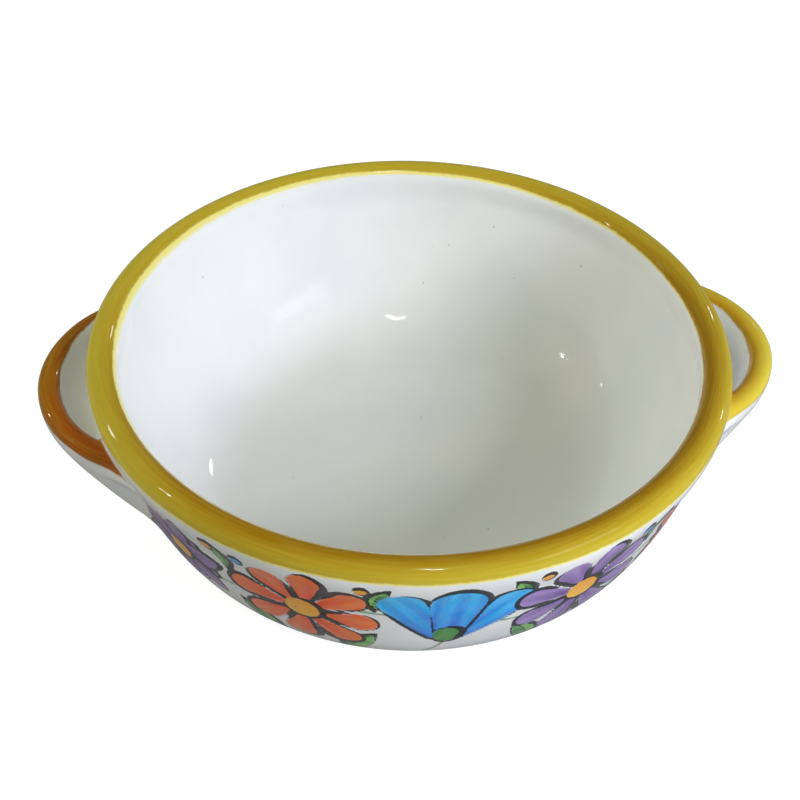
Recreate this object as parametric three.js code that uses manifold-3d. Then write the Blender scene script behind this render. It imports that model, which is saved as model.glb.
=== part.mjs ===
// A round two-handled terrine dish of glazed earthenware, standing on its foot ring.
// Millimetres, +Z up. The origin is the centre of the foot ring's underside, and the ears lie along X.

import * as THREE from 'three';
import { mergeVertices } from 'three/addons/utils/BufferGeometryUtils.js';
import Module from 'manifold-3d';

// Overall sizes
const RIM_RADIUS = 110;
const HEIGHT = 72;

// Foot ring
const FOOT_RADIUS = 73;
const FOOT_WIDTH = 9;
const FOOT_HEIGHT = 3;
const FOOT_EDGE = 1.2;

// Floor slab, with a flange that the wall's toe lies on
const FLOOR_THICKNESS = 7;
const FLANGE_THICKNESS = 3.5;
const FLANGE_WIDTH = 10;

// Wall: how far its underside stands out from the foot, and the pull of its curves
const WALL_THICKNESS = 7;
const BASE_OVERHANG = 3;
const BASE_PULL = 16;
const BASE_LIFT = 3;
const SHOULDER_PULL = 21;
const SHOULDER_SLOPE = 0.29;
const COVE_PULL = 22;

// Rolled lip: a band with a round top, standing out from the wall below it
const LIP_THICKNESS = 10.5;
const LIP_HEIGHT = 14;
const LIP_OVERHANG = 4.8;
const LIP_FAIRING = 7;

// Ears: a rounded strap along a circular arc, with a dished web across it.
// The strap leans in below its crest, and from one angle to the next it deepens to its full root.
const EAR_REACH = 18.3;
const EAR_RADIUS = 46;
const EAR_DROP = 9.7;
const STRAP_WIDTH = 8.6;
const STRAP_HEIGHT = 14.5;
const STRAP_SQUARENESS = 2.5;
const STRAP_LEAN = 2.5;
const ROOT_DROP = 11;
const ROOT_START = THREE.MathUtils.degToRad(6);
const ROOT_FULL = THREE.MathUtils.degToRad(70);
const STRAP_SWEEP = THREE.MathUtils.degToRad(92);
const POCKET_DEPTH = 8.8;
const WEB_THICKNESS = 5;
const POCKET_COVE_WIDTH = 8;
const POCKET_COVE_RISE = 4;

// Slip joint between curved faces that meet
const JOINT_GAP = 0.3;

// Facets
const TURNS = 64;
const CURVE_STEPS = 10;
const FAIRING_STEPS = 4;
const ROUND_STEPS = 6;
const STRAP_STEPS = 32;
const STRAP_SIDES = 18;
const MERGE_TOLERANCE = 1e-4;

// Heights and radii that follow from the sizes above
const floorTop = FOOT_HEIGHT + FLOOR_THICKNESS;
const flangeTop = FOOT_HEIGHT + FLANGE_THICKNESS;
const flangeRadius = FOOT_RADIUS - FOOT_WIDTH / 2;
const floorRadius = flangeRadius - FLANGE_WIDTH;
const baseRadius = FOOT_RADIUS + BASE_OVERHANG;
const lipBottom = HEIGHT - LIP_HEIGHT;
const shoulderRadius = RIM_RADIUS - LIP_OVERHANG;
const shoulderHeight = lipBottom - LIP_FAIRING;
const mouthRadius = shoulderRadius - WALL_THICKNESS + SHOULDER_SLOPE * LIP_FAIRING / 2;
const earCentre = RIM_RADIUS + EAR_REACH - EAR_RADIUS;
const crestHeight = HEIGHT - EAR_DROP;
const strapBottom = crestHeight - STRAP_HEIGHT;
const pocketFloor = crestHeight - POCKET_DEPTH;

const wasm = await Module();
wasm.setup();

const point = (radius, height) => new THREE.Vector2(radius, height);

function curve(start, startPull, endPull, end, steps) {
  return new THREE.CubicBezierCurve(start, startPull, endPull, end).getPoints(steps);
}

function arc(centre, radius, fromAngle, toAngle, steps) {
  return new THREE.EllipseCurve(centre.x, centre.y, radius, radius, fromAngle, toAngle).getPoints(steps);
}

// Turns an outline of radius and height about the Z axis. The outline runs with the clay on its left.
function turn(outline) {
  const closed = [...outline];
  if (outline[0].x > 0) closed.push(outline[0].clone());
  return new THREE.LatheGeometry(closed, TURNS).rotateX(Math.PI / 2);
}

function toSolid(geometry) {
  const bare = geometry.clone();
  bare.deleteAttribute('normal');
  bare.deleteAttribute('uv');
  const merged = mergeVertices(bare, MERGE_TOLERANCE);
  const vertProperties = new Float32Array(merged.attributes.position.array);
  const triVerts = new Uint32Array(merged.index.array);
  return new wasm.Manifold(new wasm.Mesh({ numProp: 3, vertProperties, triVerts }));
}

function toGeometry(solid) {
  const mesh = solid.getMesh();
  const geometry = new THREE.BufferGeometry();
  geometry.setAttribute('position', new THREE.BufferAttribute(mesh.vertProperties, 3));
  geometry.setIndex(new THREE.BufferAttribute(mesh.triVerts, 1));
  geometry.computeVertexNormals();
  return geometry;
}

// The outside of the wall from its underside to the lip, moved out by a clearance
function wallOutside(clearance) {
  const base = point(baseRadius + clearance, FOOT_HEIGHT);
  const basePull = point(baseRadius + BASE_PULL + clearance, FOOT_HEIGHT + BASE_LIFT);
  const shoulder = point(shoulderRadius + clearance, shoulderHeight);
  const slope = point(SHOULDER_SLOPE, 1);
  const shoulderPull = shoulder.clone().addScaledVector(slope, -SHOULDER_PULL);
  const fairingPull = shoulder.clone().addScaledVector(slope, LIP_FAIRING / 3);
  const lipEdge = point(RIM_RADIUS + clearance, lipBottom);
  const lipPull = point(RIM_RADIUS + clearance, lipBottom - LIP_FAIRING / 2);
  return [
    ...curve(base, basePull, shoulderPull, shoulder, CURVE_STEPS),
    ...curve(shoulder, fairingPull, lipPull, lipEdge, FAIRING_STEPS).slice(1),
  ];
}

function bowlFloor() {
  return turn([
    point(0, FOOT_HEIGHT),
    point(flangeRadius, FOOT_HEIGHT),
    point(flangeRadius, flangeTop),
    point(floorRadius, flangeTop),
    point(floorRadius, floorTop),
    point(0, floorTop),
  ]);
}

function bowlWall() {
  const mouth = point(mouthRadius, lipBottom);
  const slope = point(SHOULDER_SLOPE, 1);
  const mouthPull = mouth.clone().addScaledVector(slope, -SHOULDER_PULL - LIP_FAIRING / 2);
  const toe = point(floorRadius + JOINT_GAP, floorTop);
  const covePull = point(toe.x + COVE_PULL, floorTop);
  return turn([
    point(flangeRadius + JOINT_GAP, FOOT_HEIGHT),
    ...wallOutside(0),
    ...curve(mouth, mouthPull, covePull, toe, CURVE_STEPS),
    point(toe.x, flangeTop),
    point(flangeRadius + JOINT_GAP, flangeTop),
  ]);
}

function rimLip() {
  const roundRadius = LIP_THICKNESS / 2;
  const roundCentre = point(RIM_RADIUS - roundRadius, HEIGHT - roundRadius);
  return turn([
    point(mouthRadius, lipBottom),
    point(RIM_RADIUS, lipBottom),
    ...arc(roundCentre, roundRadius, 0, Math.PI, 2 * ROUND_STEPS),
  ]);
}

function footRing() {
  const inner = FOOT_RADIUS - FOOT_WIDTH;
  const outerEdge = point(FOOT_RADIUS - FOOT_EDGE, FOOT_EDGE);
  const innerEdge = point(inner + FOOT_EDGE, FOOT_EDGE);
  return turn([
    ...arc(innerEdge, FOOT_EDGE, Math.PI, 1.5 * Math.PI, ROUND_STEPS / 2),
    ...arc(outerEdge, FOOT_EDGE, -0.5 * Math.PI, 0, ROUND_STEPS / 2),
    point(FOOT_RADIUS, FOOT_HEIGHT),
    point(inner, FOOT_HEIGHT),
  ]);
}

// The whole dish without its ears, filled in and grown by the joint gap: what the ears are cut to
function bowlCutter() {
  return toSolid(turn([
    point(0, FOOT_HEIGHT),
    ...wallOutside(JOINT_GAP),
    point(RIM_RADIUS + JOINT_GAP, HEIGHT),
    point(0, HEIGHT),
  ]));
}

// One section of the strap at an angle about the ear's centre. Below its crest it leans in towards the bowl,
// and at its roots it goes deeper and stands upright.
function strapSection(angle, growth) {
  const root = THREE.MathUtils.smoothstep(Math.abs(angle), ROOT_START, ROOT_FULL);
  const bottom = strapBottom - ROOT_DROP * root;
  const lean = STRAP_LEAN * (1 - root);
  const halfWidth = STRAP_WIDTH / 2 + growth;
  const halfHeight = (crestHeight - bottom) / 2 + growth;
  const ring = [];
  for (let side = 0; side < STRAP_SIDES; side += 1) {
    const around = 2 * Math.PI * side / STRAP_SIDES;
    const across = Math.sign(Math.cos(around)) * Math.abs(Math.cos(around)) ** (2 / STRAP_SQUARENESS);
    const upward = Math.sign(Math.sin(around)) * Math.abs(Math.sin(around)) ** (2 / STRAP_SQUARENESS);
    const depth = (1 - upward) / 2;
    const radius = EAR_RADIUS - STRAP_WIDTH / 2 + halfWidth * across - lean * depth * depth;
    const height = (crestHeight + bottom) / 2 + halfHeight * upward;
    ring.push(new THREE.Vector3(earCentre + radius * Math.cos(angle), radius * Math.sin(angle), height));
  }
  return ring;
}

// Joins sections of equal count into one closed skin, with a fan at each end
function loft(sections) {
  const count = sections[0].length;
  const positions = sections.flat().flatMap((corner) => corner.toArray());
  const index = [];
  for (let row = 0; row + 1 < sections.length; row += 1) {
    for (let side = 0; side < count; side += 1) {
      const here = row * count + side;
      const next = row * count + (side + 1) % count;
      index.push(here, next + count, next, here, here + count, next + count);
    }
  }
  const last = (sections.length - 1) * count;
  for (let side = 1; side + 1 < count; side += 1) {
    index.push(0, side, side + 1, last, last + side + 1, last + side);
  }
  const geometry = new THREE.BufferGeometry();
  geometry.setAttribute('position', new THREE.Float32BufferAttribute(positions, 3));
  geometry.setIndex(index);
  return geometry;
}

function strapBlank(growth) {
  const sections = [];
  for (let step = 0; step <= STRAP_STEPS; step += 1) {
    const angle = THREE.MathUtils.lerp(-STRAP_SWEEP, STRAP_SWEEP, step / STRAP_STEPS);
    sections.push(strapSection(angle, growth));
  }
  return toSolid(loft(sections));
}

function handleStrap() {
  return toGeometry(strapBlank(0).subtract(bowlCutter()));
}

// A dished disc about the ear's centre, cut to the strap and to the wall
function handleWeb() {
  const underStrap = EAR_RADIUS - STRAP_LEAN - STRAP_WIDTH / 2;
  const coveEnd = EAR_RADIUS - STRAP_LEAN / 4 - STRAP_WIDTH + JOINT_GAP;
  const coveStart = coveEnd - POCKET_COVE_WIDTH;
  const bottom = pocketFloor - WEB_THICKNESS;
  const coveTop = point(coveEnd, pocketFloor + POCKET_COVE_RISE);
  const coveLow = point(coveStart, pocketFloor);
  const coveBend = point(coveEnd - POCKET_COVE_WIDTH / 3, pocketFloor);
  const disc = turn([
    point(0, bottom),
    point(underStrap, bottom),
    point(underStrap, coveTop.y),
    ...curve(coveTop, coveBend, coveBend, coveLow, FAIRING_STEPS),
    point(0, pocketFloor),
  ]);
  disc.translate(earCentre, 0, 0);
  return toGeometry(toSolid(disc).subtract(strapBlank(JOINT_GAP)).subtract(bowlCutter()));
}

const glaze = new THREE.MeshStandardMaterial({ color: 0xe8e7df, roughness: 0.18, metalness: 0 });
const ochrePaint = new THREE.MeshStandardMaterial({ color: 0xc9a52c, roughness: 0.2, metalness: 0 });
const amberPaint = new THREE.MeshStandardMaterial({ color: 0xb98312, roughness: 0.2, metalness: 0 });
const bareClay = new THREE.MeshStandardMaterial({ color: 0xc9a07a, roughness: 0.85, metalness: 0 });

function named(name, geometry, material) {
  const mesh = new THREE.Mesh(geometry, material);
  mesh.name = name;
  return mesh;
}

function handle(side, turnAngle) {
  const ear = new THREE.Group();
  ear.rotation.z = turnAngle;
  ear.add(named(`${side}_handle_strap`, handleStrap(), amberPaint));
  ear.add(named(`${side}_handle_web`, handleWeb(), glaze));
  return ear;
}

const dish = new THREE.Group();
dish.add(named('foot_ring', footRing(), bareClay));
dish.add(named('bowl_floor', bowlFloor(), glaze));
dish.add(named('bowl_wall', bowlWall(), glaze));
dish.add(named('rim_lip', rimLip(), ochrePaint));
dish.add(handle('right', 0));
dish.add(handle('left', Math.PI));

export default dish;
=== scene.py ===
"""The look of a round, two-handled terrine dish of painted earthenware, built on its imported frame."""
import math

import bpy
import numpy as np
from mathutils import Matrix, Vector


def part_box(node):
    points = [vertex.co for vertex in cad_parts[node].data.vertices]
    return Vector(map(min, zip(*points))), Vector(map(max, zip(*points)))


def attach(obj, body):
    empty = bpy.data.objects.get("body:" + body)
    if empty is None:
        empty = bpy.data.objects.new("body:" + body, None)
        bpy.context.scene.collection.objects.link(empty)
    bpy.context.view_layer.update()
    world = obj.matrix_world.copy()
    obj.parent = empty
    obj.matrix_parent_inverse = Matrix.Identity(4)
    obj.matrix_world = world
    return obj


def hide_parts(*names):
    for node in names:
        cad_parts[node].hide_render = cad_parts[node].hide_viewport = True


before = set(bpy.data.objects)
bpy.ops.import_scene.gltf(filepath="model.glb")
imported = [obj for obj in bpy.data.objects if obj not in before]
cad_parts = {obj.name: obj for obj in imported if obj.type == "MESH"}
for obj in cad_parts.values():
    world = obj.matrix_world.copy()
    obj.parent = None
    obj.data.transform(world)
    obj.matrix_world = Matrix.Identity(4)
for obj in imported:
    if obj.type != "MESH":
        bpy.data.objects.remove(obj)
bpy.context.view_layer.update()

# Shapes and paint are worked out in millimetres, and meshes are made in metres
MM = 0.001


def node_box(name):
    """Lowest and highest corner of a CAD node, in millimetres."""
    low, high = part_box(name)
    return np.array(low) / MM, np.array(high) / MM


# Sizes read from the frame
lip_low, lip_high = node_box("rim_lip")
floor_low, floor_high = node_box("bowl_floor")
foot_high = node_box("foot_ring")[1]
strap_high = node_box("right_handle_strap")[1]
web_low = node_box("right_handle_web")[0]
RIM_RADIUS = lip_high[0]
HEIGHT = lip_high[2]
LIP_BOTTOM = lip_low[2]
FLOOR_TOP = floor_high[2]
FLOOR_BOTTOM = floor_low[2]
FLANGE_RADIUS = floor_high[0]
FOOT_RADIUS = foot_high[0]
EAR_TIP = strap_high[0]
CREST_HEIGHT = strap_high[2]
WEB_BOTTOM = web_low[2]

# Sizes that the frame's boxes don't show
FLANGE_WIDTH = 10.0
FLANGE_THICKNESS = 3.5
FOOT_WIDTH = 9.0
FOOT_EDGE = 1.2
WALL_THICKNESS = 7.0
BASE_OVERHANG = 3.0
BASE_PULL = 16.0
BASE_LIFT = 3.0
SHOULDER_PULL = 21.0
SHOULDER_SLOPE = 0.29
COVE_PULL = 22.0
LIP_THICKNESS = 10.5
LIP_OVERHANG = 4.8
LIP_FAIRING = 7.0
FACE_PULL = 5.5
EAR_RADIUS = 46.0

# How far the thrown clay settles outward at the lip, towards each ear, and sinks towards one side
OUT_LEFT = 1.0
OUT_RIGHT = 0.2
SINK_MOST = 0.5
SINK_SIDE = 2.2

# Settling outward fades from the rim to the ears' tips
SETTLE_START = RIM_RADIUS + 2
SETTLE_END = EAR_TIP - 1

# Rows of the turned skin, and columns round it
FLOOR_ROWS = 14
COVE_ROWS = 26
LIP_SIDE_ROWS = 6
LIP_ROUND_ROWS = 24
FACE_ROWS = 30
WALL_ROWS = 58
COLUMNS = 900

# A length too small to matter, and the distances of points with no ink or stripe near them
TINY = 1e-9
NO_INK = 9.0
NO_BAND = -30.0


def smoothstep(value, low, high):
    share = np.clip((value - low) / (high - low), 0, 1)
    return share * share * (3 - 2 * share)


def curve(start, start_pull, end_pull, end, steps):
    """Points on a cubic Bezier curve, with its start and without its end."""
    share = np.linspace(0, 1, steps, endpoint=False)[:, None]
    rest = 1 - share
    corners = [np.array(corner, float) for corner in (start, start_pull, end_pull, end)]
    return (rest**3 * corners[0] + 3 * rest**2 * share * corners[1]
            + 3 * rest * share**2 * corners[2] + share**3 * corners[3])


def line(start, end, steps):
    """Points on a straight line, with its start and without its end."""
    return np.linspace(start, end, steps, endpoint=False)


def arc(centre, radius, from_angle, to_angle, steps):
    """Points on a circle's arc, with its start and without its end."""
    angle = np.linspace(from_angle, to_angle, steps, endpoint=False)
    return np.stack([centre[0] + radius * np.cos(angle), centre[1] + radius * np.sin(angle)], 1)


# The turned skin: radius and height from the middle of the floor, up the inside, over the lip and down
shoulder = np.array([RIM_RADIUS - LIP_OVERHANG, LIP_BOTTOM - LIP_FAIRING])
slope = np.array([SHOULDER_SLOPE, 1.0])
mouth = np.array([shoulder[0] - WALL_THICKNESS + SHOULDER_SLOPE * LIP_FAIRING / 2, LIP_BOTTOM])
toe = np.array([FLANGE_RADIUS - FLANGE_WIDTH, FLOOR_TOP])
base = np.array([FOOT_RADIUS + BASE_OVERHANG, FLOOR_BOTTOM])
round_radius = LIP_THICKNESS / 2
round_centre = np.array([RIM_RADIUS - round_radius, HEIGHT - round_radius])
inner_side = round_centre - [round_radius, 0]
outer_side = round_centre + [round_radius, 0]
lip_side = outer_side[1] - LIP_BOTTOM

lip_run = np.concatenate([
    curve(mouth, mouth + slope * lip_side / 3, inner_side - [0, lip_side / 3], inner_side, LIP_SIDE_ROWS),
    arc(round_centre, round_radius, math.pi, 0, LIP_ROUND_ROWS),
])
face_run = curve(outer_side, outer_side - [0, FACE_PULL], shoulder + slope * FACE_PULL, shoulder, FACE_ROWS)
wall_run = np.concatenate([
    curve(shoulder, shoulder - slope * SHOULDER_PULL, base + [BASE_PULL, BASE_LIFT], base, WALL_ROWS),
    [base],
])
inside_run = np.concatenate([
    line((0, FLOOR_TOP), toe, FLOOR_ROWS),
    curve(toe, toe + [COVE_PULL, 0], mouth - slope * (SHOULDER_PULL + LIP_FAIRING / 2), mouth, COVE_ROWS),
])
skin = np.concatenate([inside_run, lip_run, face_run, wall_run])
toe_row = FLOOR_ROWS
mouth_row = len(inside_run)
crest_row = mouth_row + LIP_SIDE_ROWS + LIP_ROUND_ROWS // 2
face_row = mouth_row + len(lip_run)
edge_row = face_row + int(np.argmax(face_run[:, 1] <= LIP_BOTTOM))
base_row = len(skin) - 1

# Distance along the skin from the lip's crest: below zero inside the bowl, above zero outside
skin_length = np.concatenate([[0], np.cumsum(np.linalg.norm(np.diff(skin, axis=0), axis=1))])
skin_place = skin_length - skin_length[crest_row]


def settle(points):
    """Moves points as thrown clay settles, a little out of round and out of level."""
    angle = np.arctan2(points[..., 1], points[..., 0])
    reach = np.hypot(points[..., 0], points[..., 1])
    raised = points[..., 2] / HEIGHT
    most = (OUT_RIGHT + OUT_LEFT) / 2 + (OUT_RIGHT - OUT_LEFT) / 2 * np.cos(angle)
    push = most * np.cos(angle) ** 2 * raised * (1 - smoothstep(reach, SETTLE_START, SETTLE_END))
    sink = SINK_MOST * raised**2 * (1 + np.cos(angle - SINK_SIDE)) / 2
    moved = points.copy()
    moved[..., :2] *= (1 + push / RIM_RADIUS)[..., None]
    moved[..., 2] -= sink
    return moved


angles = np.linspace(0, 2 * math.pi, COLUMNS, endpoint=False)


def turned(outline):
    """Rings of points from an outline of radius and height."""
    radius = outline[:, :1]
    height = np.repeat(outline[:, 1:], COLUMNS, axis=1)
    return settle(np.stack([radius * np.cos(angles), radius * np.sin(angles), height], -1))


def ring_normals(rings):
    """Normals of a turned skin, from its neighbours along and round it."""
    along = np.gradient(rings, axis=0)
    around = np.roll(rings, -1, axis=1) - np.roll(rings, 1, axis=1)
    around[0] = around[1]
    normal = np.cross(along, around)
    return normal / np.maximum(np.linalg.norm(normal, axis=-1, keepdims=True), TINY)


# Paint on the lip: where the stripe starts inside and stops outside, how its edges wander, and its fringe
STRIPE_INSIDE = -4.7
STRIPE_OVAL = 0.9
STRIPE_SHIFT = 1.1
STRIPE_OUTSIDE = 8.7
EDGE_WANDER = 0.35
FRINGE_LEAST = 0.4
FRINGE_MOST = 3.4
FRINGE_MIDDLE = math.radians(155)
FRINGE_OUTSIDE = 0.9

# How much lighter the stripe is outside, from thinner paint and painted light, how much thinner its paint
# is at the left, how much painted light at the back and painted shade at the front, and a painted shade
# darkening the near left
OUTSIDE_THINNING_AND_LIGHT = 0.8
THIN_LEFT = 0.25
BACK_LIGHT_FRONT_SHADE = 0.28
NEAR_LEFT_SHADE_DEPTH = 0.3
NEAR_LEFT_SHADE_FOCUS = 14
NEAR_LEFT_SHADE_MIDDLE = math.radians(235)


def wander(angle, phase):
    """A slow, uneven wave round the dish, from about -1 to 1."""
    return (0.5 * np.sin(3 * angle + phase) + 0.28 * np.sin(11 * angle + 2.3 * phase)
            + 0.22 * np.sin(29 * angle + 4.1 * phase))


def lip_band(angle, place):
    """Distance inside the lip's stripe, below zero outside it, and share of the fringe past its edge."""
    inner = STRIPE_INSIDE - STRIPE_OVAL * np.cos(2 * angle) - STRIPE_SHIFT * np.cos(angle)
    inner = inner + EDGE_WANDER * wander(angle, 0.7)
    outer = STRIPE_OUTSIDE + EDGE_WANDER * wander(angle, 2.9)
    toward = (1 + np.cos(angle - FRINGE_MIDDLE)) / 2
    width = FRINGE_LEAST + (FRINGE_MOST - FRINGE_LEAST) * toward**2 + EDGE_WANDER * wander(angle, 5.3)
    fringe = np.minimum(1 + (place - inner) / width, 1 + (outer - place) / FRINGE_OUTSIDE)
    return np.minimum(place - inner, outer - place), np.clip(fringe, -1, 2)


def display(red, green, blue):
    """A linear colour from the 8-bit values that a display shows."""
    share = np.array([red, green, blue]) / 255
    return np.where(share <= 0.04045, share / 12.92, ((share + 0.055) / 1.055) ** 2.4)


# Colours of the paints, thin and thick
WHITE = display(236, 237, 232)
ORANGE = display(248, 122, 34), display(240, 68, 2)
PURPLE = display(164, 134, 196), display(104, 68, 142)
BLUE = display(40, 196, 254), display(2, 116, 222)
GREEN = display(124, 196, 84), display(28, 122, 40)
YELLOW = display(252, 192, 40), display(238, 148, 10)
INK = display(14, 13, 16)
OCHRE = display(218, 202, 62), display(162, 120, 2)
# The left ear's amber: more orange paint, made darker in part as painted shade
AMBER_WITH_SHADE = display(160, 110, 0), display(164, 80, 0)
# The right ear's yellower paint, made paler in part as painted light
SAFFRON_WITH_LIGHT = display(230, 214, 72), display(192, 136, 2)
FRINGE = display(246, 232, 104)

# Brush: softness of a wash, half-width of an ink line, how a stroke's grain runs and jumps to the next
WASH_EDGE = 0.45
INK_WEIGHT = 1.05
GRAIN_ACROSS = 0.5
GRAIN_ALONG = 0.12
GRAIN_JUMP = 3.7
LIP_GRAIN_AROUND = 0.05
LIP_GRAIN_ACROSS = 1.1


class Canvas:
    """Washes and ink lines laid on points of the wall's outside."""

    def __init__(self, angle, drop, radius):
        self.angle = angle
        self.drop = drop
        self.radius = radius
        self.colour = np.tile(WHITE, (len(angle), 1))
        self.cover = np.zeros(len(angle))
        self.ink = np.full(len(angle), NO_INK)
        self.stroke = np.zeros((len(angle), 3))
        self.count = 0

    def place(self, angle, drop, turn):
        """Points seen from a spot on the wall, in millimetres along a turned direction and beside it."""
        away = (self.angle - angle + math.pi) % (2 * math.pi) - math.pi
        beside = away * self.radius
        up = drop - self.drop
        return turned_axes(up, beside, turn)

    def wash(self, distance, thin, thick, depth, along, side):
        """Fills where distance is below zero, from thin paint to thick by depth, over what is there."""
        amount = 1 - smoothstep(distance, -WASH_EDGE, WASH_EDGE)
        tone = thin + (thick - thin) * np.clip(depth, 0, 1)[:, None]
        self.colour += (tone - self.colour) * amount[:, None]
        self.cover = np.maximum(self.cover, amount)
        self.count += 1
        under = distance < 0
        self.ink[under] = NO_INK
        jump = np.full(len(side), GRAIN_JUMP * self.count)
        grain = np.stack([side * GRAIN_ACROSS, along * GRAIN_ALONG, jump], 1)
        self.stroke[under] = grain[under]

    def outline(self, distance, weight):
        self.ink = np.minimum(self.ink, np.abs(distance) - weight)


def turned_axes(along, side, turn):
    cosine, sine = math.cos(turn), math.sin(turn)
    return along * cosine + side * sine, side * cosine - along * sine


def petal(along, side, start, end, start_width, end_width):
    """Distance to a petal with round ends of two widths, lying along a line."""
    length = end - start
    taper = (start_width - end_width) / length
    flank = math.sqrt(1 - taper * taper)
    across = np.abs(side)
    up = along - start
    place = across * -taper + up * flank
    low = np.hypot(across, up) - start_width
    high = np.hypot(across, up - length) - end_width
    middle = across * flank + up * taper - start_width
    return np.where(place < 0, low, np.where(place > flank * length, high, middle))


def blade(along, side, length, width, bend):
    """Distance to a leaf pointed at both ends, from 0 to its length, bent to one side."""
    middle = along - length / 2
    across = np.abs(side - bend * (1 - (2 * middle / length) ** 2))
    radius = (length**2 + width**2) / (4 * width)
    return np.hypot(across + radius - width / 2, middle) - radius


def pressure(along, side, lean):
    """Half-width of an ink line as the brush presses and lifts round a shape."""
    around = np.arctan2(side, along)
    return INK_WEIGHT * (0.7 + 0.45 * np.sin(around + lean) + 0.25 * np.sin(2 * around + 1.7 * lean))


def draw_petal(canvas, along, side, distance, colours, length, lean):
    thin, thick = colours
    depth = 1.05 - along / length + 0.22 * np.sin(side * 0.9 + lean)
    canvas.wash(distance, thin, thick, depth, along, side)
    canvas.outline(distance, pressure(along - length * 0.6, side, lean))


def draw_eye(canvas, along, side, radius, lean):
    """The round middle of a blossom, with a broken ring and a few dots of ink."""
    distance = np.hypot(along, side) - radius
    canvas.wash(distance, *YELLOW, 0.4 + along / radius * 0.4, along, side)
    canvas.outline(distance, pressure(along, side, lean))
    for number in range(3):
        turn = lean + number * 2.1
        spot = np.hypot(along - 0.42 * radius * math.cos(turn), side - 0.42 * radius * math.sin(turn))
        canvas.outline(spot, 0.42)


def draw_daisy(canvas, angle, drop, size, turn, colours):
    """A round blossom of eight separate petals, seen from in front."""
    along, side = canvas.place(angle, drop, turn)
    petals = 8
    for number in range(petals):
        lean = number * 2.4
        reach = size * (1 + 0.05 * math.sin(lean))
        out, across = turned_axes(along, side, 2 * math.pi * number / petals)
        distance = petal(out, across, 0.34 * size, 0.77 * reach, 0.11 * size, 0.245 * size)
        draw_petal(canvas, out, across, distance, colours, reach, lean)
    draw_eye(canvas, along, side, 0.26 * size, turn)


def draw_star(canvas, angle, drop, size, turn, colours):
    """A blossom of six pointed petals over six shorter ones."""
    along, side = canvas.place(angle, drop, turn)
    petals = 6
    for layer, length in ((0.5, 0.80 * size), (0, size)):
        for number in range(petals):
            lean = number * 1.9 + layer
            out, across = turned_axes(along, side, 2 * math.pi * (number + layer) / petals)
            distance = blade(out, across, length, 0.50 * size, 0)
            draw_petal(canvas, out, across, distance, colours, length, lean)
    draw_eye(canvas, along, side, 0.25 * size, turn)


def draw_bell(canvas, angle, drop, size, turn, colours):
    """A cup-shaped blossom seen from the side, on a short stem."""
    along, side = canvas.place(angle, drop, turn)
    stem = petal(along, side + 0.02 * along**2, -0.55 * size, 0.1 * size, 0.8, 0.6)
    canvas.wash(stem, *GREEN, np.full(len(along), 0.9), along, side)
    for lean, width, reach in ((0.62, 0.20, 0.96), (-0.62, 0.20, 0.96), (0.0, 0.24, 0.92)):
        out, across = turned_axes(along, side, lean)
        distance = petal(out, across, 0.14 * size, reach * size - width * size, 0.12 * size, width * size)
        draw_petal(canvas, out, across, distance, colours, size, 1 + 3 * lean)
    distance = petal(along, side, 0.02 * size, 0.12 * size, 0.10 * size, 0.12 * size)
    canvas.wash(distance, *GREEN, np.full(len(along), 0.8), along, side)
    canvas.outline(distance, pressure(along, side, turn))


def draw_leaf(canvas, angle, drop, size, turn, bend):
    """A pointed leaf with a midrib, one half darker than the other."""
    along, side = canvas.place(angle, drop, turn)
    distance = blade(along, side, size, 0.36 * size, bend)
    rib = side - bend * (1 - (2 * along / size - 1) ** 2)
    thin, thick = GREEN
    canvas.wash(distance, thin, thick, 0.45 + 0.35 * np.sign(rib) + 0.2 * np.sin(along * 0.8), along, side)
    canvas.outline(distance, INK_WEIGHT * (0.35 + 0.75 * smoothstep(rib * math.copysign(1, bend), -2, 2)))
    midrib = np.hypot(rib, np.maximum(np.abs(along - 0.45 * size) - 0.3 * size, 0))
    canvas.outline(midrib, 0.28)


def draw_berry(canvas, angle, drop, size, colours):
    along, side = canvas.place(angle, drop, 0)
    distance = np.hypot(along, side) - size
    canvas.wash(distance, *colours, 0.5 - along / size * 0.5, along, side)
    canvas.outline(distance, pressure(along, side, 1.2) * 0.8)


# One garland: a thing's degrees along it, millimetres below the lip's stripe and size,
# then a blossom's or leaf's turn in radians, a leaf's bend, and a blossom's or berry's colours
VINE_SPAN = 60.0
VINE_DROP = 27.0
VINE_WAVE = 6.0
VINE_BENDS = 5.0
VINE_WIDTH = 0.8
BLOSSOMS = (
    (draw_star, -53, 27, 21, 0.2, PURPLE),
    (draw_daisy, -26, 27, 25, 0.15, ORANGE),
    (draw_bell, 0, 41, 40, 0.1, BLUE),
    (draw_daisy, 26, 27, 25, 0.3, PURPLE),
    (draw_star, 53, 27, 21, 0.1, ORANGE),
)
LEAVES = (
    (-61, 36, 20, -2.3, 2.0),
    (-40, 38, 25, 2.8, -2.4),
    (-40, 19, 16, -0.3, 2.0),
    (-13, 38, 25, -2.8, 2.4),
    (-13, 20, 17, 0.3, -2.0),
    (13, 38, 25, 2.8, -2.4),
    (13, 20, 17, -0.3, 2.0),
    (40, 38, 25, -2.8, 2.4),
    (40, 19, 16, 0.3, -2.0),
    (61, 36, 20, 2.3, -2.0),
)
BERRIES = (
    (-43, 7, 2.6, YELLOW),
    (-37, 8, 2.4, BLUE),
    (-15, 6, 2.4, YELLOW),
    (16, 6, 2.4, YELLOW),
    (37, 7, 2.6, BLUE),
    (43, 8, 2.4, YELLOW),
)
GARLANDS = (-90.0, 90.0)


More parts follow.
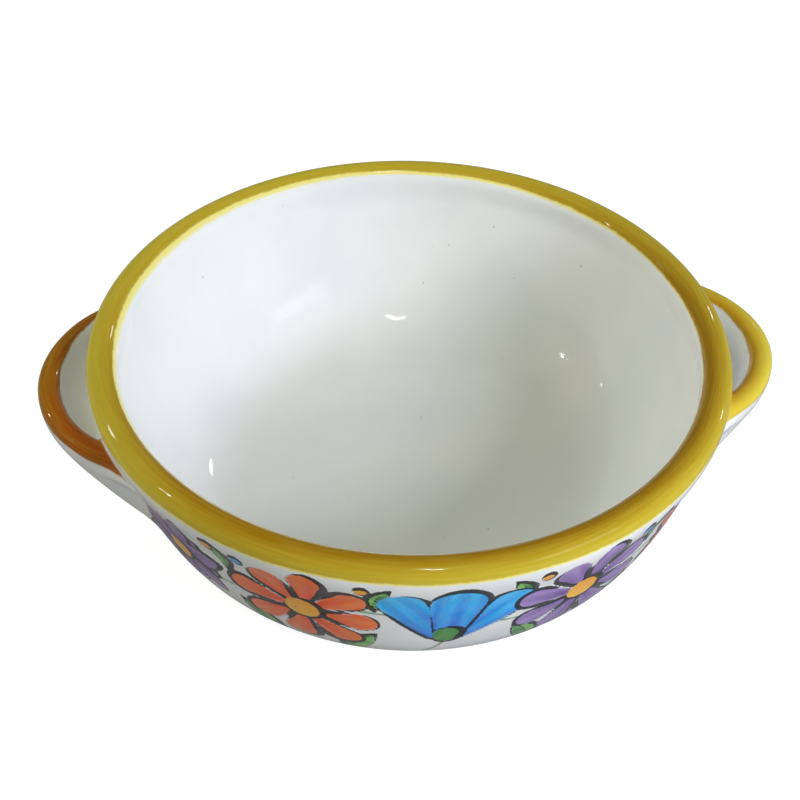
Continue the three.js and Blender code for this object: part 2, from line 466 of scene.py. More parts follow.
def draw_garland(canvas, middle):
    along_vine = (np.degrees(canvas.angle) - middle + 180) % 360 - 180
    bend = VINE_BENDS * np.radians(along_vine)
    rise = canvas.drop - VINE_DROP - VINE_WAVE * np.sin(bend)
    distance = np.maximum(np.abs(rise) - VINE_WIDTH, np.abs(along_vine) - VINE_SPAN)
    canvas.wash(distance, *GREEN, np.full(len(rise), 0.85), along_vine, rise)
    for angle, drop, size, turn, lean in LEAVES:
        draw_leaf(canvas, math.radians(middle + angle), drop, size, turn, lean)
    for angle, drop, size, colours in BERRIES:
        draw_berry(canvas, math.radians(middle + angle), drop, size, colours)
    for draw, angle, drop, size, turn, colours in BLOSSOMS:
        draw(canvas, math.radians(middle + angle), drop, size, turn, colours)


def draw_band(canvas):
    for middle in GARLANDS:
        draw_garland(canvas, middle)


# Paint on the whole turned skin, one value to a point
skin_rings = turned(skin)
skin_normals = ring_normals(skin_rings)
skin_angle = np.tile(angles, (len(skin), 1))
skin_along = np.repeat(skin_place[:, None], COLUMNS, axis=1)
skin_band, skin_fringe = lip_band(skin_angle, skin_along)
skin_stroke = np.stack([
    skin_rings[..., 0] * LIP_GRAIN_AROUND,
    skin_rings[..., 1] * LIP_GRAIN_AROUND,
    skin_along * LIP_GRAIN_ACROSS,
], -1)
thin, thick = OCHRE
# The stripe is lighter towards its outer edge, partly from thinner paint and partly as painted light
lightened = OUTSIDE_THINNING_AND_LIGHT * smoothstep(skin_along, STRIPE_INSIDE, STRIPE_OUTSIDE)
# Thinner paint at the left; painted light at the back and painted shade at the front
lightened = lightened + THIN_LEFT * np.sin(skin_angle / 2) ** 2 + BACK_LIGHT_FRONT_SHADE * np.sin(skin_angle)
# Painted shade: the stripe is darker on the near left
near_left_shade = np.maximum(np.cos(skin_angle - NEAR_LEFT_SHADE_MIDDLE), 0) ** NEAR_LEFT_SHADE_FOCUS
lightened = np.clip(lightened - NEAR_LEFT_SHADE_DEPTH * near_left_shade, 0, 1)
skin_stripe = thick + (thin - thick) * lightened[..., None]
skin_colour = np.tile(np.append(WHITE, 0.0), (len(skin), COLUMNS, 1))
skin_ink = np.full((len(skin), COLUMNS), NO_INK)

outside = slice(face_row, len(skin))
canvas = Canvas(
    skin_angle[outside].ravel(),
    skin_along[outside].ravel() - STRIPE_OUTSIDE,
    np.repeat(skin[outside, 0], COLUMNS),
)
canvas.stroke = skin_stroke[outside].reshape(-1, 3).copy()
draw_band(canvas)
outside_shape = skin_band[outside].shape
skin_colour[outside, :, :3] = canvas.colour.reshape(*outside_shape, 3)
skin_colour[outside, :, 3] = canvas.cover.reshape(outside_shape)
skin_ink[outside] = canvas.ink.reshape(outside_shape)
skin_stroke[outside] = canvas.stroke.reshape(*outside_shape, 3)
skin_paint = {
    "band": skin_band,
    "fringe": skin_fringe,
    "ink": skin_ink,
    "paint": skin_colour,
    "stripe": np.append(skin_stripe, np.ones((len(skin), COLUMNS, 1)), axis=-1),
    "stroke": skin_stroke,
}

# Faces that meet at more than this angle keep a sharp edge
SHARP_ANGLE = math.radians(40)


def make_object(name, points, faces, normals, paint, material):
    """A mesh object in metres, with paint on its points. A normal of zeros is left to the faces."""
    mesh = bpy.data.meshes.new(name)
    mesh.from_pydata((points * MM).tolist(), [], faces)
    mesh.polygons.foreach_set("use_smooth", np.ones(len(mesh.polygons), bool))
    mesh.set_sharp_from_angle(angle=SHARP_ANGLE)
    mesh.normals_split_custom_set_from_vertices(normals.tolist())
    for label, kind, field in (
        ("band", "FLOAT", "value"),
        ("fringe", "FLOAT", "value"),
        ("ink", "FLOAT", "value"),
        ("paint", "FLOAT_COLOR", "color"),
        ("stripe", "FLOAT_COLOR", "color"),
        ("stroke", "FLOAT_VECTOR", "vector"),
    ):
        layer = mesh.attributes.new(label, kind, "POINT")
        layer.data.foreach_set(field, np.ascontiguousarray(paint[label], np.float32).ravel())
    mesh.materials.append(material)
    piece = bpy.data.objects.new(name, mesh)
    bpy.context.scene.collection.objects.link(piece)
    return piece


def bare_paint(count):
    """Paint values of points with no paint on them."""
    return {
        "band": np.full(count, NO_BAND),
        "fringe": np.full(count, -1.0),
        "ink": np.full(count, NO_INK),
        "paint": np.tile(np.append(WHITE, 0.0), (count, 1)),
        "stripe": np.ones((count, 4)),
        "stroke": np.zeros((count, 3)),
    }


def turned_piece(name, runs, material):
    """A closed, turned piece. Each run is a slice of the skin's rows or an outline of its own."""
    outlines, rings, normals, paints = [], [], [], []
    for run in runs:
        if isinstance(run, slice):
            outlines.append(skin[run])
            rings.append(skin_rings[run])
            normals.append(skin_normals[run])
            paints.append({label: values[run] for label, values in skin_paint.items()})
        else:
            outline = np.array(run, float)
            outlines.append(outline)
            rings.append(turned(outline))
            normals.append(np.zeros_like(rings[-1]))
            bare = bare_paint(len(outline) * COLUMNS)
            shape = (len(outline), COLUMNS)
            paints.append({
                label: values.reshape(*shape, *values.shape[1:])
                for label, values in bare.items()
            })
    outline = np.concatenate(outlines)
    on_axis = outline[:, 0] < TINY
    closed = not on_axis.any()

    # A row on the axis keeps one point, and every other row keeps one to a column
    kept = np.ones((len(outline), COLUMNS), bool)
    kept[on_axis, 1:] = False
    number = np.cumsum(kept.ravel()).reshape(kept.shape) - 1
    number[on_axis] = number[on_axis, :1]

    # Faces, and their map for baking: share of the turn across, and share of the outline's length up
    column = np.arange(COLUMNS)
    following = (column + 1) % COLUMNS
    lengths = np.linalg.norm(np.diff(outline, axis=0, append=outline[:1]), axis=1)
    heights = np.concatenate([[0], np.cumsum(lengths)]) / lengths.sum()
    faces, corners = [], []
    for row in range(len(outline) if closed else len(outline) - 1):
        lower = number[row]
        upper = number[(row + 1) % len(outline)]
        low, high = heights[row], heights[row + 1]
        left, right = column / COLUMNS, (column + 1) / COLUMNS
        ring = [
            (lower[column], left, low),
            (upper[column], left, high),
            (upper[following], right, high),
            (lower[following], right, low),
        ]
        if on_axis[row]:
            del ring[3]
        if on_axis[(row + 1) % len(outline)]:
            del ring[2]
        faces.extend(np.stack([corner[0] for corner in ring], 1).tolist())
        flat = [np.stack([corner[1], np.full(COLUMNS, corner[2])], 1) for corner in ring]
        corners.append(np.stack(flat, 1).reshape(-1, 2))

    chosen = kept.ravel()
    paint = {
        label: np.concatenate([part[label] for part in paints]).reshape(len(chosen), -1)[chosen]
        for label in paints[0]
    }
    points = np.concatenate(rings).reshape(-1, 3)[chosen]
    point_normals = np.concatenate(normals).reshape(-1, 3)[chosen]
    piece = make_object(name, points, faces, point_normals, paint, material)
    layer = piece.data.uv_layers.new(name="OFBake")
    layer.data.foreach_set("uv", np.concatenate(corners).astype(np.float32).ravel())
    return piece


class Field:
    """Signed distance to a closed outline of radius and height, read between the points of a grid."""

    STEP = 0.25

    def __init__(self, outline, low, high):
        self.low = np.array(low, float)
        count = ((np.array(high) - self.low) / self.STEP).astype(int) + 1
        across = self.low[0] + self.STEP * np.arange(count[0])
        up = self.low[1] + self.STEP * np.arange(count[1])
        points = np.stack(np.meshgrid(across, up, indexing="ij"), -1).reshape(-1, 2)
        nearest = np.full(len(points), np.inf)
        inside = np.zeros(len(points), bool)
        for start, end in zip(outline, np.roll(outline, -1, axis=0)):
            side = end - start
            offset = points - start
            share = np.clip(offset @ side / (side @ side), 0, 1)
            nearest = np.minimum(nearest, np.linalg.norm(offset - share[:, None] * side, axis=1))
            spans = (start[1] > points[:, 1]) != (end[1] > points[:, 1])
            rise = side[1] if side[1] else 1.0
            inside ^= spans & (points[:, 0] < start[0] + (points[:, 1] - start[1]) * side[0] / rise)
        self.values = np.where(inside, -nearest, nearest).reshape(count)

    def at(self, radius, height):
        place = (np.stack([radius, height], -1) - self.low) / self.STEP
        limit = np.array(self.values.shape) - 2
        cell = np.clip(np.floor(place).astype(int), 0, limit)
        share = np.clip(place - cell, 0, 1)
        column, row = cell[..., 0], cell[..., 1]
        left = self.values[column, row] * (1 - share[..., 1]) + self.values[column, row + 1] * share[..., 1]
        right = (self.values[column + 1, row] * (1 - share[..., 1])
                 + self.values[column + 1, row + 1] * share[..., 1])
        return left * (1 - share[..., 0]) + right * share[..., 0]


# Ear: a lug dished on top, whose section turns about a centre inside the bowl, with fillets to the wall
EAR_CENTRE = EAR_TIP - EAR_RADIUS
WIDEST_DROP = 3.2
CREST_INSET = 4.2
INNER_INSET = 8.3
INNER_DROP = 3.2
POCKET_DEPTH = 8.8
POCKET_INSET = 18.0
UNDER_INSET = 10.0
TOP_FILLET = 2.0
POCKET_FILLET = 5.0
ROOT_FILLET = 13.0
UNDER_FILLET = 1.5
FILLET_LOW = 9.0
SEAM = 0.02
ROOT_DEPTH = 2.0

# Towards its roots, the ear below a level is drawn down the wall
ROOT_START = math.radians(24)
ROOT_FULL = math.radians(72)
ROOT_LEVEL = 56.5
ROOT_STRETCH = 2.4
ROOT_EASE = 7.0

# The ear's mesh: size of its cells, the box they fill, and how its points are drawn onto the shape
NET_STEP = 0.8
EAR_LOW = (EAR_CENTRE - 40, -84.0, 4.0)
EAR_HIGH = (EAR_TIP + 3, 84.0, HEIGHT + 3)
NET_PASSES = 4
NET_REACH = 0.1
LEAST_SLOPE = 0.2
NORMAL_REACH = 0.4
ON_SURFACE = 0.05

# Paint on the ears: over the strap from its inner edge to a line on its outer side, clear of the bowl
STRAP_SINK = 4.5
STRAP_MIDDLE = (EAR_RADIUS - CREST_INSET, CREST_HEIGHT - STRAP_SINK)
STRAP_ROUND = 4.4
EAR_STRIPE_IN = -5.0
EAR_STRIPE_DROP = 4.4
EAR_STRIPE_CLEAR = 0.2
EAR_STRIPE_SPREAD = 4.5
EAR_UNEVEN = 0.1
EAR_POOL = 0.18
BAND_REACH = 20.0


def lug_outline():
    """Half of the lug's section, from its centre out along the underside and back through the pocket."""
    def spot(inset, drop):
        return np.array([EAR_RADIUS - inset, CREST_HEIGHT - drop])
    under = CREST_HEIGHT - WEB_BOTTOM
    widest = spot(0, WIDEST_DROP)
    crest = spot(CREST_INSET, 0)
    inner = spot(INNER_INSET, INNER_DROP)
    pocket = spot(POCKET_INSET, POCKET_DEPTH)
    steps = 16
    return np.concatenate([
        [spot(EAR_RADIUS, under)],
        curve(spot(UNDER_INSET, under), spot(2.5, under), spot(0, 9.5), widest, steps),
        curve(widest, spot(0, 1.1), spot(1.9, 0), crest, steps),
        curve(crest, spot(6.6, 0), spot(7.8, 1.2), inner, steps),
        curve(inner, spot(9.2, 7.0), spot(12, 8.6), pocket, steps),
        [pocket, spot(EAR_RADIUS, POCKET_DEPTH)],
    ])


def bowl_outline():
    return np.concatenate([skin[crest_row:], [(0, FLOOR_BOTTOM), (0, HEIGHT)]])


# Distances near the ears. A point off a grid takes the value at the grid's edge
bowl_field = Field(bowl_outline(), (50, 2), (150, 78))
lug_field = Field(lug_outline(), (0, 2), (100, 78))


class Ear:
    """An ear on the right side of the bowl, pressed narrower or wider by hand."""

    def __init__(self, breadth):
        self.breadth = breadth

    def parts(self, points):
        """Distance to the bowl, to the lug by itself, and the size of the fillet between them."""
        out = points[:, 0] - EAR_CENTRE
        side = points[:, 1] / self.breadth
        height = points[:, 2]
        bowl = bowl_field.at(np.hypot(points[:, 0], points[:, 1]), height)
        root = smoothstep(np.abs(np.arctan2(side, out)), ROOT_START, ROOT_FULL)
        below = np.maximum(ROOT_LEVEL - height, 0)
        eased = np.where(below < ROOT_EASE, below**2 / (2 * ROOT_EASE), below - ROOT_EASE / 2)
        drawn = height + eased * (1 - 1 / (1 + ROOT_STRETCH * root))
        under = smoothstep(below, 0, ROOT_EASE)
        lug = lug_field.at(np.hypot(out, side), drawn) * (1 + ROOT_STRETCH * root * under)
        low = 1 - smoothstep(height, CREST_HEIGHT - FILLET_LOW, CREST_HEIGHT)
        wide = POCKET_FILLET + (ROOT_FILLET - POCKET_FILLET) * root + UNDER_FILLET * under
        return bowl, lug, TOP_FILLET + (wide - TOP_FILLET) * low

    def blended(self, points):
        """Distance to the lug run into the wall with a fillet."""
        bowl, lug, fillet = self.parts(points)
        meet = np.maximum(fillet - np.abs(bowl - SEAM - lug), 0) / fillet
        return np.minimum(bowl - SEAM, lug) - meet * meet * fillet / 4

    def solid(self, points):
        """The same, ended just inside the wall and just past the fillet."""
        bowl, lug, fillet = self.parts(points)
        return np.maximum.reduce([self.blended(points), -ROOT_DEPTH - bowl, lug - fillet - 1])

    def mesh(self):
        """Points, quads and normals of the ear. Normals off its blended surface are zeros."""
        points, faces = surface_net(self.solid, EAR_LOW, EAR_HIGH, NET_STEP)
        for _ in range(NET_PASSES):
            slopes = gradient(self.solid, points, NET_REACH)
            length = np.maximum((slopes**2).sum(1), LEAST_SLOPE)
            move = -slopes * (self.solid(points) / length)[:, None]
            points = points + np.clip(move, -NET_STEP / 2, NET_STEP / 2)
        normals = gradient(self.blended, points, NORMAL_REACH)
        normals /= np.linalg.norm(normals, axis=1, keepdims=True)
        normals[np.abs(self.blended(points)) > ON_SURFACE] = 0
        return points, faces, normals

    def paint(self, points, turn, phase, colours, widened):
        """Paint of a stripe over the strap, wider towards one root, and of the wall's band beside it."""
        side = points[:, 1] / self.breadth
        reach = np.hypot(points[:, 0] - EAR_CENTRE, side)
        along = np.arctan2(side, points[:, 0] - EAR_CENTRE)
        over = STRAP_ROUND * np.arctan2(reach - STRAP_MIDDLE[0], points[:, 2] - STRAP_MIDDLE[1])
        uneven = 0.3 * np.sin(5 * along + phase) + 0.15 * np.sin(17 * along + 2 * phase)
        bowl = self.parts(points)[0]
        paint = bare_paint(len(points))
        paint["band"] = np.minimum.reduce([
            over - EAR_STRIPE_IN + uneven + widened * np.sin(along),
            points[:, 2] - CREST_HEIGHT + EAR_STRIPE_DROP - uneven,
            bowl - EAR_STRIPE_CLEAR,
        ])
        thin, thick = colours
        # The ear's stripe is lighter towards its outer side, partly from thinner paint and partly as
        # painted light
        lightened = OUTSIDE_THINNING_AND_LIGHT * smoothstep(over, -EAR_STRIPE_SPREAD, EAR_STRIPE_SPREAD)
        lightened = lightened + EAR_UNEVEN * (1 + np.sin(3 * along + 2 * phase))
        lightened = np.clip(lightened - EAR_POOL * np.maximum(widened * np.sin(along), 0), 0, 1)
        paint["stripe"][:, :3] = thick + (thin - thick) * lightened[:, None]
        paint["stroke"] = np.stack([
            along * EAR_RADIUS * LIP_GRAIN_AROUND,
            over * LIP_GRAIN_ACROSS,
            np.full(len(over), phase),
        ], 1)
        place = np.interp(-points[:, 2], -skin[outside, 1], skin_place[outside])
        spun = np.arctan2(points[:, 1], points[:, 0]) + turn
        canvas = Canvas(spun, place - STRIPE_OUTSIDE, np.hypot(points[:, 0], points[:, 1]))
        canvas.stroke = paint["stroke"].copy()
        draw_band(canvas)
        on_wall = (bowl < BAND_REACH) & (paint["band"] < 0)
        paint["paint"][on_wall, :3] = canvas.colour[on_wall]
        paint["paint"][on_wall, 3] = canvas.cover[on_wall]
        paint["ink"][on_wall] = canvas.ink[on_wall]
        paint["stroke"][on_wall] = canvas.stroke[on_wall]
        return paint


def gradient(field, points, reach):
    slopes = []
    for axis in range(3):
        step = np.zeros(3)
        step[axis] = reach
        slopes.append((field(points + step) - field(points - step)) / (2 * reach))
    return np.stack(slopes, 1)


def surface_net(field, low, high, step):
    """Points and quads over the zero level of a field: one point to each cell that the level crosses."""
    axes = [np.arange(low[axis], high[axis], step) for axis in range(3)]
    grid = np.stack(np.meshgrid(*axes, indexing="ij"), -1)
    value = field(grid.reshape(-1, 3)).reshape(grid.shape[:3])
    total = np.zeros(grid.shape)
    count = np.zeros(value.shape)
    quads = []
    for axis in range(3):
        first = np.moveaxis(value, axis, 0)[:-1]
        second = np.moveaxis(value, axis, 0)[1:]
        crossed = np.argwhere((first < 0) != (second < 0))
        start = first[tuple(crossed.T)]
        end = second[tuple(crossed.T)]
        order = [axis] + [other for other in range(3) if other != axis]
        cell = np.zeros_like(crossed)
        cell[:, order] = crossed
        place = cell.astype(float)
        place[:, axis] += start / (start - end)
        one, two = (axis + 1) % 3, (axis + 2) % 3
        around = []
        for back_one, back_two in ((0, 0), (1, 0), (1, 1), (0, 1)):
            near = cell.copy()
            near[:, one] -= back_one
            near[:, two] -= back_two
            np.add.at(total, tuple(near.T), place)
            np.add.at(count, tuple(near.T), 1)
            around.append(np.ravel_multi_index(tuple(near.T), value.shape))
        quad = np.stack(around, 1)
        quads.append(np.where((start < 0)[:, None], quad, quad[:, ::-1]))
    used = count.ravel() > 0
    number = np.cumsum(used) - 1
    points = np.array(low) + step * (total.reshape(-1, 3)[used] / count.ravel()[used][:, None])
    return points, number[np.concatenate(quads)]


def make_ear(name, breadth, turn, phase, colours, widened, material):
    ear = Ear(breadth)
    cosine, sine = math.cos(turn), math.sin(turn)
    spin = np.array([[cosine, -sine, 0], [sine, cosine, 0], [0, 0, 1]])
    points, faces, normals = ear.mesh()
    paint = ear.paint(points, turn, phase, colours, widened)
    return make_object(name, settle(points @ spin.T), faces.tolist(), normals @ spin.T, paint, material)


# Share of the white surroundings that shows in a reflection or through glass
MIRROR_SHARE = 0.08


class Nodes:
    """Short forms for building the node tree of a material or of the world."""

    COLOUR_FACTOR, COLOUR_A, COLOUR_B, COLOUR_RESULT = 0, 6, 7, 2

    def __init__(self, owner, shader="Principled BSDF"):
        owner.use_nodes = True
        self.owner = owner
        self.tree = owner.node_tree
        self.shader = self.tree.nodes[shader]

    def link(self, socket, value):
        if isinstance(value, bpy.types.NodeSocket):
            self.tree.links.new(value, socket)
        elif isinstance(value, (int, float)):
            socket.default_value = value
        else:
            socket.default_value = (*value, 1.0)

    def maths(self, operation, first, second):
        made = self.tree.nodes.new("ShaderNodeMath")
        made.operation = operation
        self.link(made.inputs[0], first)
        self.link(made.inputs[1], second)
        return made.outputs[0]

    def mix(self, factor, first, second):
        made = self.tree.nodes.new("ShaderNodeMix")
        made.data_type = "RGBA"
        self.link(made.inputs[self.COLOUR_FACTOR], factor)
        self.link(made.inputs[self.COLOUR_A], first)
        self.link(made.inputs[self.COLOUR_B], second)
        return made.outputs[self.COLOUR_RESULT]

    def ramp(self, value, low, high, from_share=0.0, to_share=1.0):
        """A smooth step from one share to another as a value goes from low to high."""
        made = self.tree.nodes.new("ShaderNodeMapRange")
        made.interpolation_type = "SMOOTHSTEP"
        for label, setting in (("Value", value), ("From Min", low), ("From Max", high),
                               ("To Min", from_share), ("To Max", to_share)):
            self.link(made.inputs[label], setting)
        return made.outputs["Result"]

    def attribute(self, name, output):
        made = self.tree.nodes.new("ShaderNodeAttribute")
        made.attribute_name = name
        return made.outputs[output]

    def noise(self, vector, scale, detail=2.0):
        made = self.tree.nodes.new("ShaderNodeTexNoise")
        made.inputs["Scale"].default_value = scale
        made.inputs["Detail"].default_value = detail
        self.tree.links.new(vector, made.inputs["Vector"])
        return made.outputs["Fac"]

    def place(self):
        return self.tree.nodes.new("ShaderNodeTexCoord").outputs["Object"]

    def bump(self, height, depth, under=None):
        """A bump as deep as a height of 1, in metres."""
        made = self.tree.nodes.new("ShaderNodeBump")
        made.inputs["Distance"].default_value = depth
        self.tree.links.new(height, made.inputs["Height"])
        if under is not None:
            self.tree.links.new(under, made.inputs["Normal"])
        return made.outputs["Normal"]

    def light_path(self):
        return self.tree.nodes.new("ShaderNodeLightPath").outputs

    def seen(self, path):
        """1 to the camera, a small share in a reflection or through glass, and 0 to other light."""
        mirrored = self.maths("MAXIMUM", path["Is Glossy Ray"], path["Is Transmission Ray"])
        return self.maths("ADD", path["Is Camera Ray"], self.maths("MULTIPLY", mirrored, MIRROR_SHARE))


# Glaze: its colours, the index of its gloss, and its roughness from place to place
GLAZE = display(239, 240, 236)
GLAZE_COOL = display(232, 235, 232)
SPECK = display(150, 138, 116)
GLAZE_INDEX = 1.38
SMOOTHEST = 0.04
ROUGHEST = 0.08

# Noise in the glaze and the paint, in waves to a metre
CLOUD_WAVES = 22.0
SPECK_WAVES = 420.0
NOTCH_WAVES = 420.0
RAGGED_WAVES = 900.0
GLOSS_WAVES = 60.0
FLOW_WAVES = 55.0
GRAIN_WAVES = 700.0

# Relief of the glaze and of the paint in it, in metres
FLOW_DEPTH = 0.00035
GRAIN_DEPTH = 0.000012
PAINT_DEPTH = 0.00004

# Bare clay: its colours, its noise in waves to a metre, and its relief in metres
CLAY = display(206, 164, 128)
CLAY_DARK = display(184, 134, 98)
GRIT = display(236, 214, 190)
CLAY_WAVES = 90.0
GRIT_WAVES = 1500.0
SAND_WAVES = 1200.0
SAND_DEPTH = 0.00012


def glaze_material(name):
    """Tin glaze over earthenware, with a brushed stripe, washes and ink where the points have them."""
    nodes = Nodes(bpy.data.materials.new(name))
    place = nodes.place()
    stroke = nodes.attribute("stroke", "Vector")
    streak = nodes.noise(stroke, 1.0, 4.0)
    ragged = nodes.maths("SUBTRACT", nodes.noise(place, RAGGED_WAVES, 3.0), 0.5)
    notched = nodes.maths("SUBTRACT", nodes.noise(place, NOTCH_WAVES, 3.0), 0.5)

    # White glaze: uneven thickness shows cooler, with a few specks of the clay
    cloud = nodes.ramp(nodes.noise(place, CLOUD_WAVES, 3.0), 0.35, 0.7)
    colour = nodes.mix(cloud, GLAZE, GLAZE_COOL)
    speck = nodes.ramp(nodes.noise(place, SPECK_WAVES, 1.0), 0.80, 0.84)
    colour = nodes.mix(nodes.maths("MULTIPLY", speck, 0.6), colour, SPECK)

    # Washes of the painted band
    paint = nodes.attribute("paint", "Color")
    cover = nodes.attribute("paint", "Alpha")
    pool = nodes.ramp(streak, 0.3, 0.72)
    tint = nodes.mix(nodes.maths("MULTIPLY", pool, 0.05), paint, WHITE)
    wash = nodes.maths("MULTIPLY", cover, nodes.ramp(streak, 0.25, 0.6, 1.0, 0.97))
    colour = nodes.mix(wash, colour, tint)

    # Brushed stripe, with a thin fringe where the wet paint ran past its edge
    band = nodes.attribute("band", "Fac")
    edge = nodes.maths("ADD", band, nodes.maths("MULTIPLY", notched, 0.8))
    reach = nodes.maths("ADD", nodes.attribute("fringe", "Fac"), nodes.maths("MULTIPLY", notched, 0.5))
    colour = nodes.mix(nodes.ramp(reach, 0.1, 0.7, 0.0, 0.85), colour, FRINGE)
    lightened = nodes.ramp(streak, 0.35, 0.8, 0.0, 0.12)
    stripe_colour = nodes.mix(lightened, nodes.attribute("stripe", "Color"), FRINGE)
    stripe_cover = nodes.ramp(edge, -0.2, 0.8)
    colour = nodes.mix(stripe_cover, colour, stripe_colour)

    # Ink lines with a dry edge
    ink = nodes.maths("ADD", nodes.attribute("ink", "Fac"), nodes.maths("MULTIPLY", ragged, 0.7))
    line_cover = nodes.ramp(ink, -0.16, 0.12, 0.95, 0.0)
    colour = nodes.mix(line_cover, colour, INK)
    nodes.link(nodes.shader.inputs["Base Color"], colour)

    # Gloss, and a skin that is not quite even
    nodes.shader.inputs["IOR"].default_value = GLAZE_INDEX
    gloss = nodes.noise(place, GLOSS_WAVES, 3.0)
    nodes.link(nodes.shader.inputs["Roughness"], nodes.ramp(gloss, 0.3, 0.7, SMOOTHEST, ROUGHEST))
    flow = nodes.bump(nodes.noise(place, FLOW_WAVES), FLOW_DEPTH)
    grain = nodes.bump(nodes.noise(place, GRAIN_WAVES), GRAIN_DEPTH, flow)
    relief = nodes.bump(nodes.maths("MAXIMUM", stripe_cover, wash), PAINT_DEPTH, grain)
    nodes.link(nodes.shader.inputs["Normal"], relief)
    return nodes.owner


def clay_material(name):
    """Bare fired clay: matt, sandy and uneven in tone."""
    nodes = Nodes(bpy.data.materials.new(name))
    place = nodes.place()
    tone = nodes.ramp(nodes.noise(place, CLAY_WAVES, 4.0), 0.3, 0.7)
    colour = nodes.mix(tone, CLAY, CLAY_DARK)
    grit = nodes.ramp(nodes.noise(place, GRIT_WAVES), 0.62, 0.7)
    colour = nodes.mix(nodes.maths("MULTIPLY", grit, 0.5), colour, GRIT)
    nodes.link(nodes.shader.inputs["Base Color"], colour)
    nodes.link(nodes.shader.inputs["Roughness"], nodes.ramp(tone, 0.0, 1.0, 0.78, 0.92))
    nodes.link(nodes.shader.inputs["Normal"], nodes.bump(nodes.noise(place, SAND_WAVES, 3.0), SAND_DEPTH))
    return nodes.owner


white_glaze = glaze_material("white_glaze")
ochre_rim = glaze_material("ochre_rim")
amber_ear = glaze_material("amber_ear")
bare_clay = clay_material("bare_clay")

flange_top = FLOOR_BOTTOM + FLANGE_THICKNESS
flange_step = (toe[0], flange_top)
flange_edge = (FLANGE_RADIUS, flange_top)
flange_foot = (FLANGE_RADIUS, FLOOR_BOTTOM)
inner_foot = FOOT_RADIUS - FOOT_WIDTH
foot_steps = 6
pieces = (
    (
        turned_piece("glazed_floor", (
            slice(0, toe_row + 1),
            [flange_step, flange_edge, flange_foot, (0, FLOOR_BOTTOM)],
        ), white_glaze),
        "white_glaze",
        ("bowl_floor",),
    ),
    (
        turned_piece("painted_wall", (
            slice(toe_row, mouth_row + 1),
            slice(edge_row, base_row + 1),
            [flange_foot, flange_edge, flange_step],
        ), white_glaze),
        "white_glaze",
        ("bowl_wall",),
    ),
    (
        turned_piece("painted_lip", (slice(mouth_row, edge_row + 1),), ochre_rim),
        "ochre_rim",
        ("rim_lip",),
    ),
    (
        turned_piece("clay_foot", (np.concatenate([
            [(FOOT_RADIUS, FLOOR_BOTTOM)],
            arc((FOOT_RADIUS - FOOT_EDGE, FOOT_EDGE), FOOT_EDGE, 0, -math.pi / 2, foot_steps),
            [(FOOT_RADIUS - FOOT_EDGE, 0)],
            arc((inner_foot + FOOT_EDGE, FOOT_EDGE), FOOT_EDGE, -math.pi / 2, -math.pi, foot_steps),
            [(inner_foot, FOOT_EDGE), (inner_foot, FLOOR_BOTTOM)],
        ]),), bare_clay),
        "bare_clay",
        ("foot_ring",),
    ),
    # The right ear's paint is partly painted light, and the left ear's is partly painted shade
    (
        make_ear("painted_ear_right", breadth=0.92, turn=0, phase=1.3, colours=SAFFRON_WITH_LIGHT, widened=-1.6,
                 material=amber_ear),
        "amber_ear",
        ("right_handle_strap", "right_handle_web"),
    ),
    (
        make_ear("painted_ear_left", breadth=1.0, turn=math.pi, phase=4.1, colours=AMBER_WITH_SHADE, widened=4.4,
                 material=amber_ear),
        "amber_ear",
        ("left_handle_strap", "left_handle_web"),
    ),
)
for piece, slot, nodes_replaced in pieces:
    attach(piece, "root")
    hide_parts(*nodes_replaced)

# Floor: grey paper that glows nearly white to the camera and still shows the dish's shadow,
# and that throws light back at the dish as a paler paper does
FLOOR_HALF = 3.0
FLOOR_CORNERS = ((-1, -1), (1, -1), (1, 1), (-1, 1))
PAPER_DARK = display(128, 128, 128)
PAPER_PALE = display(136, 136, 136)
PAPER_BOUNCE = display(190, 190, 188)
PAPER_WAVES = 3.0
PAPER_ROUGHNESS = 0.9
GLOW_NEAR = 0.9
GLOW_FAR = 1.0
GLOW_RISE_START = 0.5
GLOW_RISE_END = 1.5
floor_mesh = bpy.data.meshes.new("floor")
floor_points = [(FLOOR_HALF * across, FLOOR_HALF * along, 0) for across, along in FLOOR_CORNERS]
floor_mesh.from_pydata(floor_points, [], [(0, 1, 2, 3)])
floor = bpy.data.objects.new("floor", floor_mesh)
bpy.context.scene.collection.objects.link(floor)
paper = Nodes(bpy.data.materials.new("paper"))
paper_path = paper.light_path()
paper_tone = paper.mix(paper.noise(paper.place(), PAPER_WAVES), PAPER_DARK, PAPER_PALE)
paper_tone = paper.mix(paper_path["Is Diffuse Ray"], paper_tone, PAPER_BOUNCE)
paper.link(paper.shader.inputs["Base Color"], paper_tone)
paper.shader.inputs["Roughness"].default_value = PAPER_ROUGHNESS
paper.shader.inputs["Emission Color"].default_value = (1, 1, 1, 1)
away = paper.tree.nodes.new("ShaderNodeVectorMath")
away.operation = "LENGTH"
paper.link(away.inputs[0], paper.place())
glow = paper.ramp(away.outputs["Value"], GLOW_RISE_START, GLOW_RISE_END, GLOW_NEAR, GLOW_FAR)
paper.link(paper.shader.inputs["Emission Strength"], paper.maths("MULTIPLY", paper.seen(paper_path), glow))
floor_mesh.materials.append(paper.owner)

# World: plain soft light from all round, seen as white
WORLD_LIGHT = 0.06
sky = Nodes(bpy.data.worlds.new("studio"), "Background")
bpy.context.scene.world = sky.owner
sky.shader.inputs["Color"].default_value = (1, 1, 1, 1)
sky_seen = sky.maths("MULTIPLY", sky.seen(sky.light_path()), 1 - WORLD_LIGHT)
sky.link(sky.shader.inputs["Strength"], sky.maths("ADD", sky_seen, WORLD_LIGHT))

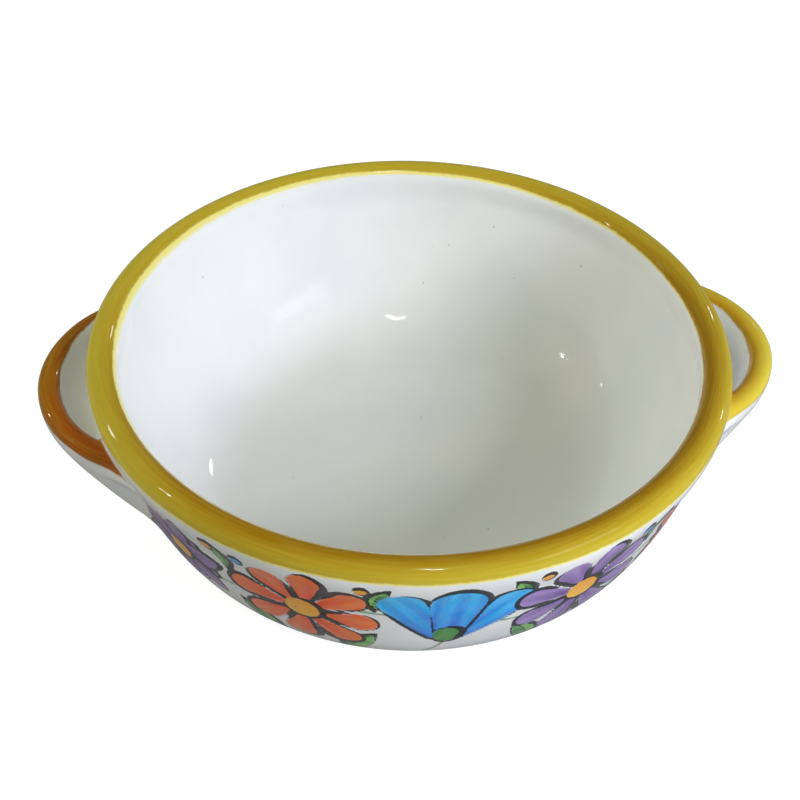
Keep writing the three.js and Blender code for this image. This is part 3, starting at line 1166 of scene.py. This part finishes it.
# Lamps: place, and width and height, in metres, power in watts, and tint,
# then whether they light the dish and whether they show in its gloss
PLAIN = (1.0, 1.0, 1.0)
LAMPS = (
    ("key", (0.85, -0.85, 0.66), (0.5, 0.5), 17.7, (0.86, 0.89, 1.0), True, False),
    ("fill", (-0.80, 0.00, 1.20), (1.0, 1.0), 4.6, (1.0, 1.0, 0.6), True, False),
    ("left", (-1.10, 0.50, 0.60), (0.6, 0.6), 5.2, (0.94, 0.90, 1.0), True, False),
    ("back", (0.10, 1.20, 0.70), (0.6, 0.6), 2.2, (0.80, 0.88, 1.0), True, False),
    ("front", (-0.25, -1.20, 0.16), (0.5, 0.25), 0.7, PLAIN, True, False),
    ("low_left", (-1.15, -0.55, 0.12), (0.5, 0.2), 1.0, (1.0, 1.0, 0.96), True, False),
    ("window", (0.88, -0.82, 0.66), (0.6, 0.25), 1.0, PLAIN, True, True),
    ("glint_inside", (0.02, -0.72, 1.42), (0.07, 0.07), 1.0, PLAIN, False, True),
    ("glint_beside", (0.10, -0.80, 1.40), (0.07, 0.07), 1.0, PLAIN, False, True),
    ("glint_left", (-1.18, 0.12, 0.92), (0.045, 0.045), 0.6, PLAIN, False, True),
    ("glint_back_left", (-1.20, 0.60, 0.62), (0.045, 0.045), 0.6, PLAIN, False, True),
    ("glint_back_right", (0.78, 1.05, 0.70), (0.045, 0.045), 0.3, PLAIN, False, True),
    ("glint_right", (1.38, 0.50, 0.32), (0.045, 0.045), 0.25, PLAIN, False, True),
)
LAMP_TARGET = Vector((0, 0, 0.04))
for label, where, (width, height), power, tint, lights, shows in LAMPS:
    lamp_data = bpy.data.lights.new(label, "AREA")
    lamp_data.shape = "RECTANGLE"
    lamp_data.size = width
    lamp_data.size_y = height
    lamp_data.energy = power
    lamp_data.color = tint
    lamp = bpy.data.objects.new(label, lamp_data)
    lamp.location = where
    lamp.rotation_euler = (LAMP_TARGET - Vector(where)).to_track_quat("-Z", "Y").to_euler()
    lamp.visible_diffuse = lights
    lamp.visible_glossy = shows
    bpy.context.scene.collection.objects.link(lamp)

# Camera: turned and raised about its aim, rolled a little, with the photograph's perspective
CAMERA_AIM = Vector((-7.0, -26.8, 67.0)) * MM
CAMERA_DISTANCE = 600 * MM
CAMERA_TURN = math.radians(-7.8)
CAMERA_RISE = math.radians(41.83)
CAMERA_ROLL = math.radians(1.6)
CAMERA_LENS = 81.0
back = Vector((
    math.sin(CAMERA_TURN) * math.cos(CAMERA_RISE),
    -math.cos(CAMERA_TURN) * math.cos(CAMERA_RISE),
    math.sin(CAMERA_RISE),
))
level = Vector((math.cos(CAMERA_TURN), math.sin(CAMERA_TURN), 0))
upright = back.cross(level)
right = level * math.cos(CAMERA_ROLL) + upright * math.sin(CAMERA_ROLL)
above = back.cross(right)
camera_data = bpy.data.cameras.new("camera")
camera_data.lens = CAMERA_LENS
camera = bpy.data.objects.new("camera", camera_data)
facing = Matrix((right, above, back)).transposed().to_4x4()
camera.matrix_world = Matrix.Translation(CAMERA_AIM + back * CAMERA_DISTANCE) @ facing
bpy.context.scene.collection.objects.link(camera)
bpy.context.scene.camera = camera
bpy.context.scene.view_settings.view_transform = "Standard"
